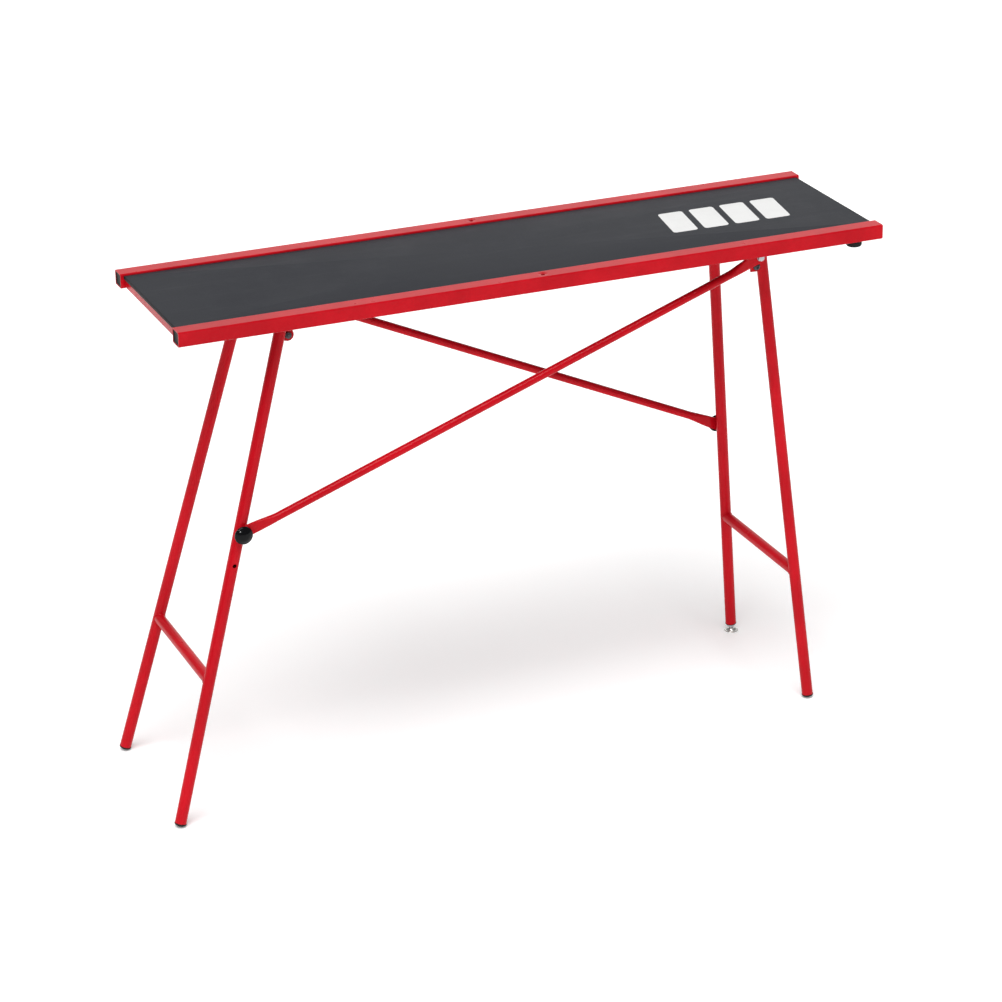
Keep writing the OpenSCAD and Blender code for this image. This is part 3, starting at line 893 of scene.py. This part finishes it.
@dataclass
class TableTop(SubAssembly):
    """Rails, crossbars, board, plugs, buffers and the printed mark."""

    board_edge: float = 0.7
    band_t: float = 1.2
    mark_x: tuple[float, float] = (288.0, 500.0)
    mark_y: tuple[float, float] = (-46.0, 52.0)
    mark_count: int = 4
    mark_gap: float = 12.0
    ink_t: float = 0.12
    mark_corner: float = 6.0
    mark_slant: float = 0.16
    plug_corner: float = 1.6
    plug_inset: float = 1.6
    plug_l: float = 12.0
    buffer_r: float = 13.0
    side_weld_r: float = 1.3
    under_weld_r: float = 0.9
    weld_sink: float = 0.3

    def build(self) -> None:
        """Builds every piece of the table top."""
        f = self.finishes
        bars = ("left_end_bar", "right_end_bar", "left_hinge_bar", "right_hinge_bar", "centre_bar")
        self.dress(f.red, "near_rail", "far_rail", *bars)
        self.dress(f.zinc, "board_screws")
        self._board()
        self._mark()
        self._plugs()
        self._buffers()
        self._bar_welds(bars)

    def _board(self) -> None:
        """The board as a slab with softened edges, and a black band on each end."""
        low, high = corners("work_board")
        centre, half = (low + high) / 2, (high - low) / 2
        body = slab(half[0] - self.band_t, half[1], 0.8, low[2], high[2], self.board_edge)
        shift = np.array([centre[0], centre[1], 0.0])
        board = Shell().add(body + shift).build("board_panel", self.finishes.board)
        self.keep(board, "table", "board", "work_board")
        bands = Shell()
        for side in Side:
            place = shift + np.array([side.value * (half[0] - self.band_t / 2), 0.0, 0.0])
            bands.add(slab(self.band_t / 2, half[1], 0.4, low[2] + 0.1, high[2] + 0.05, 0.3) + place)
        self.keep(bands.build("board_end_bands", self.finishes.edge), "table", "board")

    def _mark(self) -> None:
        """A plain printed row of slanting white blocks: each is a thin slab sheared along X."""
        _, high = corners("work_board")
        centre_x = middle("work_board")[0]
        width = (self.mark_x[1] - self.mark_x[0] - self.mark_gap * (self.mark_count - 1)) / self.mark_count
        tall = (self.mark_y[1] - self.mark_y[0]) / 2
        mark = Shell()
        for k in range(self.mark_count):
            x = self.mark_x[0] + width / 2 + k * (width + self.mark_gap)
            block = slab(width / 2, tall, self.mark_corner, high[2] - 0.02, high[2] + self.ink_t, 0.04)
            block[..., 0] += block[..., 1] * self.mark_slant
            mark.add(block + np.array([centre_x + x, sum(self.mark_y) / 2, 0.0]))
        self.keep(mark.build("printed_blocks", self.finishes.ink), "table", "board")

    def _plugs(self) -> None:
        """End plugs: slabs standing on end, with a shallow dished face."""
        low, high = corners("rail_end_plugs")
        rail_low, rail_high = corners("near_rail")
        half_y, half_z = (rail_high - rail_low)[1:] / 2 - self.plug_inset
        centre_z = (rail_low[2] + rail_high[2]) / 2
        plugs = Shell()
        for side in Side:
            face = low[0] if side is Side.LEFT else high[0]
            for rail in ("near_rail", "far_rail"):
                outline = slab(half_y, half_z, self.plug_corner, 0.0, self.plug_l, 0.6)
                dish = slab(half_y - 2.4, half_z - 2.4, 1.0, 11.0, 11.4, 0.2)[-1:]
                rings = np.concatenate([outline, outline[-1:] * [0.93, 0.93, 1.0], dish])
                place = Place(
                    np.array([face - side.value * self.plug_l, middle(rail)[1], centre_z]),
                    np.array([0.0, 1.0, 0.0]),
                    np.array([0.0, 0.0, 1.0]),
                    np.array([float(side.value), 0.0, 0.0]),
                )
                plugs.add(place(rings))
        self.keep(plugs.build("end_plugs", self.finishes.plug), "table", "black_plastic", "rail_end_plugs")

    def _buffers(self) -> None:
        """Rubber buffers: turned pads with a rounded rim, a washer recess and a screw head."""
        low, high = corners("rubber_buffers")
        radius, tall = self.buffer_r, high[2] - low[2]
        rim = np.concatenate(
            [
                [[radius - 1.0, 0.0], [radius - 0.2, 0.6]],
                [[radius, tall * 0.45]],
                arc((radius - 4.0, tall - 4.0), 4.0, 0.0, 90.0, 7),
                [[5.2, tall], [4.8, tall - 0.6], [4.6, tall - 2.4], [0.3, tall - 2.4]],
            ]
        )
        pads, screws = Shell(), Shell()
        head = np.concatenate([[[4.2, 0.0]], arc((2.4, 0.2), 1.8, 0.0, 90.0, 6), [[0.3, 2.0]]])
        rail_near, rail_far = middle("near_rail"), middle("far_rail")
        for side, rail in ((Side.RIGHT, rail_near), (Side.LEFT, rail_far)):
            x = high[0] - radius if side is Side.RIGHT else low[0] + radius
            place = Place.along((x, rail[1], high[2]), (0.0, 0.0, -1.0))
            pads.add(place(turned(rim[:, 0], rim[:, 1])))
            seat = Place.along((x, rail[1], high[2] - tall + 2.6), (0.0, 0.0, -1.0))
            screws.add(seat(turned(head[:, 0], head[:, 1], 40)))
        self.keep(pads.build("buffer_pads", self.finishes.rubber), "table", "rubber", "rubber_buffers")
        self.keep(screws.build("buffer_screws", self.finishes.zinc), "table", "zinc")

    def _bar_welds(self, bars: Iterable[str]) -> None:
        """Weld beads where each crossbar meets the rails: up both sides and along the bottom."""
        welds = Shell()
        for bar in bars:
            low, high = corners(bar)
            for row in Row:
                y = (high[1] if row is Row.FAR else low[1]) - row.value * self.weld_sink
                for x in (low[0], high[0]):
                    line = np.linspace([x, y, low[2] + 1.0], [x, y, high[2] - 1.5], 40)
                    welds.add(bead(line, self.side_weld_r, False))
                line = np.linspace([low[0] + 1.0, y, low[2] + 0.9], [high[0] - 1.0, y, low[2] + 0.9], 48)
                welds.add(bead(line, self.under_weld_r, False))
        self.keep(welds.build("crossbar_welds", self.finishes.red), "table", "red_paint")


@dataclass
class Hinges(SubAssembly):
    """Brackets, pivot bolts, nuts and bushes."""

    bolt_r: float = 3.0
    head_r: float = 6.0
    head_h: float = 4.5
    nut_flats: float = 10.0
    nut_h: float = 5.0
    dome_r: float = 6.6
    socket_flats: float = 4.0
    socket_floor: float = 1.8
    thread_h: float = 0.3
    thread_pitch: float = 1.0
    bolt_tip: float = 1.5

    def build(self) -> None:
        """Builds the hinge fittings."""
        f = self.finishes
        self.dress(f.red, "left_hinge_brackets", "right_hinge_brackets")
        self.dress(f.zinc, "brace_pivot_bushes")
        for side in Side:
            word = side.name.lower()
            body = "left_carrier" if side is Side.LEFT else "table"
            bolts, nuts = Shell(), Shell()
            for row in Row:
                start, out = self.layout.hinge_start(side, row), self.layout.stack(side, row)
                self._button_bolt(bolts, start, out, self.layout.bracket_out + self.layout.side_gap / 4)
                inner = self.layout.plate_out - self.layout.plate_t - self.layout.side_gap / 4
                self._lock_nut(nuts, start, out, inner)
            piece = bolts.build(f"{word}_pivot_screws", f.black_steel, FITTING_EDGE)
            self.keep(piece, body, "black_steel", f"{word}_pivot_bolts")
            piece = nuts.build(f"{word}_pivot_locknuts", f.black_steel, FITTING_EDGE)
            self.keep(piece, body, "black_steel", f"{word}_pivot_nuts")
        self._brace_fittings()

    def _button_bolt(self, shell: Shell, start: Array, out: Array, head: float) -> None:
        """A domed bolt head with a six-sided socket, and its shank.

        The head's profile is a flange, a flattened dome and the socket's rim; the socket's rings are
        hexagonal with the wall straight down.

        Args:
            shell: gathers the surface.
            start: point on the pivot line level with the leg's axis.
            out: direction from the leg to its plates.
            head: distance to the head's seat.
        """
        place = Place.along(start + out * head, out)
        dome = arc((0.0, self.head_h - self.dome_r), self.dome_r, 22.0, 64.0, 10)
        dome = dome[dome[:, 0] <= self.head_r]
        profile = np.concatenate([[[self.head_r - 0.3, 0.0], [self.head_r, 0.3], [self.head_r, 1.0]], dome])
        button = turned(profile[:, 0], profile[:, 1], 72)
        rim_h = profile[-1, 1]
        mouth = hexagonal([9.0] * 3, [rim_h, rim_h - 0.2, self.socket_floor], self.socket_flats)
        floor = turned([0.3], [1.6], 72)
        shell.add(place(np.concatenate([button, mouth, floor])))
        length = head - (self.layout.plate_out - self.layout.plate_t - self.nut_h - self.bolt_tip)
        shank = self._bolt_thread(length, 9.0)
        shell.add(place(shank))
        shell.add(place(turned([self.bolt_r] * 2, [-length + 8.0, 0.1], 40)))

    def _bolt_thread(self, length: float, run: float) -> Array:
        """Rings of a bolt's thread, which starts this far below the seat and runs back up it."""
        core = self.bolt_r - self.thread_h
        return threaded(core, self.thread_h, self.thread_pitch, -length, -length + run)

    def _lock_nut(self, shell: Shell, start: Array, out: Array, face: float) -> None:
        """A hexagon nut with turned chamfers and a collar."""
        place = Place.along(start + out * face, -out)
        radius = corner_radius(self.nut_flats)
        r = [radius * 0.9, radius, radius, radius * 0.9, 4.3, 4.1, 3.1]
        h = [0.0, 0.45, 3.3, 3.7, 3.9, self.nut_h, self.nut_h]
        shell.add(place(hexagonal(r, h, self.nut_flats)))

    def _brace_fittings(self) -> None:
        """The plated bolts that the braces hang from, with washers and hexagon heads."""
        bolts, nuts = Shell(), Shell()
        lay = self.layout
        for row in Row:
            start = lay.brace_start(row) * [1.0, 0.0, 1.0]
            out = np.array([0.0, float(row.value), 0.0])
            seat = lay.brace_y + lay.flat_t / 2 + lay.side_gap
            place = Place.along(start + out * seat, out)
            bolts.add(place(turned([5.7, 6.0, 6.0, 5.8, 0.4], [0.0, 0.15, 0.85, 1.0, 1.0], 56)))
            radius = corner_radius(self.nut_flats)
            rims = [radius, radius, radius * 0.9, 3.6, 0.4]
            head = hexagonal(rims, [0.95, 3.9, 4.4, 4.5, 4.35], self.nut_flats)
            bolts.add(place(head))
            inner = lay.leg_y + lay.bracket_out - lay.plate_t
            length = seat - (inner - self.nut_h - self.bolt_tip)
            bolts.add(place(self._bolt_thread(length, 8.0)))
            bolts.add(place(turned([self.bolt_r] * 2, [-length + 7.5, 1.0], 40)))
            self._lock_nut(nuts, start, out, inner)
        piece = bolts.build("brace_hinge_bolts", self.finishes.zinc, FITTING_EDGE)
        self.keep(piece, "table", "zinc", "brace_pivot_bolts")
        piece = nuts.build("brace_hinge_locknuts", self.finishes.zinc, FITTING_EDGE)
        self.keep(piece, "table", "zinc", "brace_pivot_nuts")


@dataclass
class LegFrame(SubAssembly):
    """One pair of legs with its cross tube, hinge plates and feet."""

    side: Side = Side.LEFT
    cross_reach: float = 567.0
    dome: float = 14.0
    cap_d: float = 19.8
    rim: float = 2.0
    saddle_weld_r: float = 1.15
    plate_weld_r: float = 1.3
    insert_height: float = 16.5
    foot_nut_flats: float = 13.0

    @property
    def word(self) -> str:
        """The side's name as pieces and bodies use it."""
        return self.side.name.lower()

    @property
    def body(self) -> str:
        """The CAD body of this frame."""
        return f"{self.word}_legs"

    def build(self) -> None:
        """Builds the frame's pieces."""
        parts = ("near_leg", "far_leg", "cross_tube", "hinge_plates")
        self.dress(self.finishes.red, *(f"{self.word}_{part}" for part in parts))
        self._welds()
        if self.side is Side.LEFT:
            self._caps((Row.NEAR, Row.FAR), "left_foot_domes", "left_foot_caps")
        else:
            self._caps((Row.NEAR,), "right_foot_dome", "right_foot_cap")
            self._levelling_foot()

    def _welds(self) -> None:
        """Weld beads round the cross tube's ends and down the hinge plates.

        The saddle curve is the cross tube's circle pushed along Y until its distance from the
        leg's axis is the leg's radius, the root of a quadratic at each point of the circle.
        """
        lay = self.layout
        welds = Shell()
        turn = np.arange(120) * TAU / 120
        ring = np.stack([np.cos(turn), np.zeros(120), np.sin(turn)], -1) * lay.cross_d / 2
        for row in Row:
            axis = lay.down(self.side, row)
            start = lay.leg_point(self.side, row, self.cross_reach)
            way = np.array([0.0, float(-row.value), 0.0])
            across = ring - (ring @ axis)[:, None] * axis
            step = way - (way @ axis) * axis
            a = step @ step
            b = 2.0 * across @ step
            c = (across * across).sum(1) - (lay.leg_d / 2) ** 2
            t = (-b + np.sqrt(np.maximum(b * b - 4 * a * c, 0.0))) / (2 * a)
            curve = start + ring + t[:, None] * way + way * 0.1
            welds.add(bead(curve, self.saddle_weld_r, True, way), wrap=True)
            self._plate_weld(welds, row)
        self.keep(welds.build(f"{self.word}_leg_welds", self.finishes.red), self.body, "red_paint")

    def _plate_weld(self, welds: Shell, row: Row) -> None:
        """A straight bead down the inner corner between a hinge plate and its leg."""
        lay = self.layout
        t = lay.tilt(self.side)
        out = np.array([self.side.value * math.cos(t), 0.0, math.sin(t)])
        down = np.array([self.side.value * math.sin(t), 0.0, -math.cos(t)])
        inner = lay.plate_out - lay.plate_t
        back = math.sqrt((lay.leg_d / 2) ** 2 - inner**2)
        corner = lay.hinge_start(self.side, row) + lay.stack(self.side, row) * inner
        corner = corner + out * (lay.leg_offset - back)
        line = np.linspace(corner - down * (lay.plate_r - 1.5), corner + down * (lay.plate_r - 1.5), 60)
        welds.add(bead(line, self.plate_weld_r, False))

    def _caps(self, rows: Sequence[Row], name: str, node: str) -> None:
        """Rubber foot caps: a turned rim with a rounded shoulder that runs into a shallow dome."""
        lay = self.layout
        face = math.sqrt(self.dome**2 - (self.cap_d / 2) ** 2)
        caps = Shell()
        for row in rows:
            place = lay.leg_place(self.side, row, lay.reach_at(self.side, self.dome))
            start = math.degrees(math.atan2(face, self.cap_d / 2))
            curve = arc((0.0, 0.0), self.dome, start + 3.0, 89.0, 14)
            seat = face - self.rim
            sides = [[7.8, seat - 12.0], [7.9, seat], [self.cap_d / 2 - 0.3, seat]]
            sides += [[self.cap_d / 2, seat + 0.3], [self.cap_d / 2, face - 0.4]]
            profile = np.concatenate([sides, curve])
            caps.add(place(turned(profile[:, 0], profile[:, 1])))
        self.keep(caps.build(name, self.finishes.rubber), self.body, "foot_rubber", node)

    def _levelling_foot(self) -> None:
        """The threaded insert, screw, locknut and plated pad under the far right leg."""
        lay, f = self.layout, self.finishes
        end = lay.reach_at(self.side, self.insert_height)
        place = lay.leg_place(self.side, Row.FAR, end)
        radii = [7.8, 7.9, 9.6, 9.9, 9.9, 9.2, 4.3]
        heights = [-14.0, 0.0, 0.0, 0.25, 0.9, 1.6, 1.6]
        socket = Shell().add(place(turned(radii, heights)))
        self.keep(socket.build("levelling_insert", f.plug), self.body, "black_plastic", "levelling_socket")
        nut_r = corner_radius(self.foot_nut_flats)
        rims = [nut_r * 0.9, nut_r, nut_r, nut_r * 0.9, 4.0]
        nut = hexagonal(rims, [1.7, 2.2, 5.5, 6.0, 6.0], self.foot_nut_flats)
        locknut = Shell().add(place(nut)).build("levelling_locknut", f.zinc, FITTING_EDGE)
        self.keep(locknut, "levelling_foot", "zinc", "levelling_nut")
        ground = lay.reach_at(self.side, 0.0) - end
        screw = Shell().add(place(threaded(3.4, 0.6, 1.25, -13.0, ground - 3.0)))
        thread = screw.build("levelling_thread", f.zinc, THREAD_EDGE)
        self.keep(thread, "levelling_foot", "zinc", "levelling_screw")
        low, high = corners("levelling_pad")
        centre, radius = middle("levelling_pad"), (high - low)[0] / 2
        rise = high[2] - low[2]
        pad_profile = np.concatenate(
            [
                [[radius - 2.4, 0.0], [radius - 1.1, 0.05]],
                arc((radius - 1.2, 1.2), 1.2, -80.0, 80.0, 9),
                [[radius - 2.2, 2.35], [radius - 3.2, 2.3]],
                [[9.0, 2.75], [7.8, 3.4], [6.9, 4.4], [6.3, rise - 0.3], [5.8, rise], [4.2, rise]],
            ]
        )
        pad = turned(pad_profile[:, 0], pad_profile[:, 1], 96) + np.array([centre[0], centre[1], low[2]])
        disc = Shell().add(pad).build("levelling_disc", f.chrome)
        self.keep(disc, "levelling_foot", "zinc", "levelling_pad")


@dataclass
class Brace(SubAssembly):
    """A diagonal brace: a round tube pressed flat at both ends, with its screw knob."""

    row: Row = Row.NEAR
    tube_d: float = 13.5
    flat_w: float = 20.0
    flat_l: float = 14.0
    neck_l: float = 46.0
    knob_d: float = 30.0
    knob_h: float = 14.0
    knob_lift: float = 0.4

    @property
    def word(self) -> str:
        """The row's name as pieces and bodies use it."""
        return self.row.name.lower()

    def build(self) -> None:
        """Builds the brace and its knob."""
        self._tube()
        self._knob()

    def _tube(self) -> None:
        """The brace as one lofted skin.

        Along the brace, a share runs from 0 on the flat to 1 on the round tube, as 0.55 s plus
        0.45 of the cubic 3s^2 - 2s^3. Half width, half thickness, sideways shift and the outline's power
        are each the flat's value plus s times the difference to the tube's. The outline is a
        superellipse: cosine and sine raised to 2 over the power. The flat's tip is round: its half
        width there is the root of the tip radius squared less the distance to its centre squared.
        """
        place = self.layout.brace_place(self.row)
        start, end = self.layout.brace_start(self.row), self.layout.brace_end(self.row)
        span = float(np.linalg.norm(end - start))
        tip = self.flat_w / 2
        bend = np.linspace(0.0, 1.0, 30) * self.neck_l + self.flat_l
        nose = -tip * np.cos(np.linspace(0.06, math.pi / 2, 16))
        half = np.concatenate([nose, np.linspace(1.5, self.flat_l - 1.0, 8), bend])
        x = np.concatenate([half, span - half[::-1]])
        reach = np.minimum(x, span - x)
        s = np.clip((reach - self.flat_l) / self.neck_l, 0.0, 1.0)
        s = 0.55 * s + 0.45 * s * s * (3.0 - 2.0 * s)
        wide = self.flat_w / 2 + s * (self.tube_d / 2 - self.flat_w / 2)
        wide = np.where(reach < 0, np.sqrt(np.maximum(tip**2 - reach**2, 0.2)), wide)
        flat = self.layout.flat_t / 2
        thick = flat + s * (self.tube_d / 2 - flat)
        thick = np.where(reach < -tip * 0.97, flat * 0.82, thick)
        shift = s * (self.tube_d / 2 - flat)
        power = 2.0 + (1.0 - s) * 3.0
        turn = (np.arange(48) + 0.5) * TAU / 48
        c, q = np.cos(turn)[None, :], np.sin(turn)[None, :]
        e = (2.0 / power)[:, None]
        z = wide[:, None] * np.sign(c) * np.abs(c) ** e
        y = shift[:, None] + thick[:, None] * np.sign(q) * np.abs(q) ** e
        rings = np.stack([np.broadcast_to(x[:, None], z.shape), y, z], -1)
        brace = Shell().add(place(rings)).build(f"{self.word}_brace_tube", self.finishes.red, THREAD_EDGE)
        self.keep(brace, f"{self.word}_stay", "red_paint", f"{self.word}_brace")

    def _knob(self) -> None:
        """The knob: a turned collar, a rounded waist and a broad polished dome, on a threaded stud."""
        place = self.layout.brace_place(self.row)
        end = self.layout.brace_end(self.row)
        seat = Place.along(end + place.y * (self.layout.flat_t / 2 + self.knob_lift), place.y)
        radius, crown = self.knob_d / 2, self.knob_d * 0.62
        top = arc((0.0, self.knob_h - crown), crown, 90.0, 50.0, 24)
        top = top[top[:, 0] < radius - 2.6][::-1]
        shoulder = arc((radius - 3.2, top[0, 1] - 3.3), 3.2, -50.0, 62.0, 14)
        profile = np.concatenate(
            [
                [[3.4, 0.0], [9.1, 0.0], [9.4, 0.25], [9.4, 1.6]],
                arc((11.2, 1.7), 1.8, 180.0, 118.0, 5),
                shoulder,
                top,
                [[0.3, self.knob_h]],
            ]
        )
        body = Shell().add(seat(turned(profile[:, 0], profile[:, 1], 96)))
        knob = body.build(f"{self.word}_knob_head", self.finishes.knob, 40.0)
        self.keep(knob, f"{self.word}_knob", "knob_plastic", f"{self.word}_knob")
        stud = threaded(2.6, 0.4, 1.0, -self.knob_lift - self.layout.flat_t + 0.1, 6.0)
        piece = Shell().add(seat(stud)).build(f"{self.word}_stud_thread", self.finishes.zinc, THREAD_EDGE)
        self.keep(piece, f"{self.word}_knob", "zinc", f"{self.word}_knob_stud")


# --------------------------------------------------------------------------------------
# Studio
# --------------------------------------------------------------------------------------


@dataclass(frozen=True)
class Softbox:
    """A square of soft light aimed at a point."""

    name: str
    place: tuple[float, float, float]
    aim: tuple[float, float, float]
    size: tuple[float, float]
    power: float
    gloss_only: bool = False

    def build(self) -> None:
        """Adds the light to the scene."""
        data = bpy.data.lights.new(self.name, "AREA")
        data.shape = "RECTANGLE"
        data.size, data.size_y = self.size
        data.energy = self.power
        lamp = bpy.data.objects.new(self.name, data)
        way = np.array(self.aim) - np.array(self.place)
        lamp.location = self.place
        lamp.visible_diffuse = not self.gloss_only
        lamp.rotation_euler = Vector(way).to_track_quat("-Z", "Y").to_euler()
        bpy.context.scene.collection.objects.link(lamp)


@dataclass(frozen=True)
class Studio:
    """Floor, sky, lights and camera."""

    floor_size: float = 250.0
    sky: float = 0.31
    sun_power: float = 2.5
    sun_turn: tuple[float, float, float] = (21.0, -13.0, 0.0)
    sun_width: float = 42.0
    camera_place: tuple[float, float, float] = (-1.98739, -4.85382, 2.60571)
    camera_turn: tuple[float, float, float] = (67.16295, 0.92382, -22.76352)
    lens: float = 123.8
    sensor: float = 36.0
    far_clip: float = 600.0
    floor_drop: float = 0.0002
    lights: tuple[Softbox, ...] = (
        Softbox("back_panel", (1.9, 4.6, 2.7), (0.0, 0.0, 0.8), (6.0, 3.4), 50.0),
        Softbox("key", (-2.4, -3.2, 2.9), (-0.4, -0.1, 0.5), (0.7, 0.45), 70.0, True),
        Softbox("window", (-3.3, -2.6, 3.2), (-0.4, -0.1, 0.5), (0.35, 0.55), 36.0, True),
    )

    def build(self) -> None:
        """Builds the studio round the table."""
        self._floor()
        self._sky()
        self._sun()
        for light in self.lights:
            light.build()
        self._camera()
        bpy.context.scene.view_settings.view_transform = "Standard"

    def _floor(self) -> None:
        """A wide flat sheet just under the feet."""
        half = self.floor_size / 2
        mesh = bpy.data.meshes.new("studio_floor")
        square = np.array([[-half, -half, 0.0], [half, -half, 0.0], [half, half, 0.0], [-half, half, 0.0]])
        mesh.from_pydata((square + [0.0, 0.0, -self.floor_drop]).tolist(), [], [[0, 1, 2, 3]])
        mesh.materials.append(StudioFloor("pale_floor").make())
        floor = bpy.data.objects.new("studio_floor", mesh)
        bpy.context.scene.collection.objects.link(floor)

    def _sky(self) -> None:
        """An even white surround."""
        world = bpy.data.worlds.new("studio_sky")
        world.use_nodes = True
        background = world.node_tree.nodes["Background"]
        background.inputs["Color"].default_value = (1.0, 1.0, 1.0, 1.0)
        background.inputs["Strength"].default_value = self.sky
        bpy.context.scene.world = world

    def _sun(self) -> None:
        """A wide, soft sun from above, in front and to the left."""
        data = bpy.data.lights.new("soft_sun", "SUN")
        data.energy = self.sun_power
        data.angle = math.radians(self.sun_width)
        lamp = bpy.data.objects.new("soft_sun", data)
        lamp.rotation_euler = tuple(math.radians(a) for a in self.sun_turn)
        bpy.context.scene.collection.objects.link(lamp)

    def _camera(self) -> None:
        """A long lens from the front left, above the table."""
        data = bpy.data.cameras.new("studio_camera")
        data.lens = self.lens
        data.sensor_width = self.sensor
        data.clip_end = self.far_clip
        camera = bpy.data.objects.new("studio_camera", data)
        camera.location = self.camera_place
        camera.rotation_euler = tuple(math.radians(a) for a in self.camera_turn)
        bpy.context.scene.collection.objects.link(camera)
        bpy.context.scene.camera = camera


def main() -> None:
    """Builds the table's pieces in order, then the studio."""
    logging.basicConfig(level=logging.INFO, format="%(name)s: %(message)s")
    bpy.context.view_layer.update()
    finishes, layout = Finishes(), Layout()
    groups: list[SubAssembly] = [
        TableTop(finishes, layout),
        Hinges(finishes, layout),
        LegFrame(finishes, layout, side=Side.LEFT, cross_reach=567.0),
        LegFrame(finishes, layout, side=Side.RIGHT, cross_reach=549.0),
        Brace(finishes, layout, row=Row.NEAR),
        Brace(finishes, layout, row=Row.FAR),
    ]
    for group in groups:
        group.build()
        LOG.info("%s: %d pieces", type(group).__name__, len(group.made))
    Studio().build()


if __name__ == "__main__":
    main()
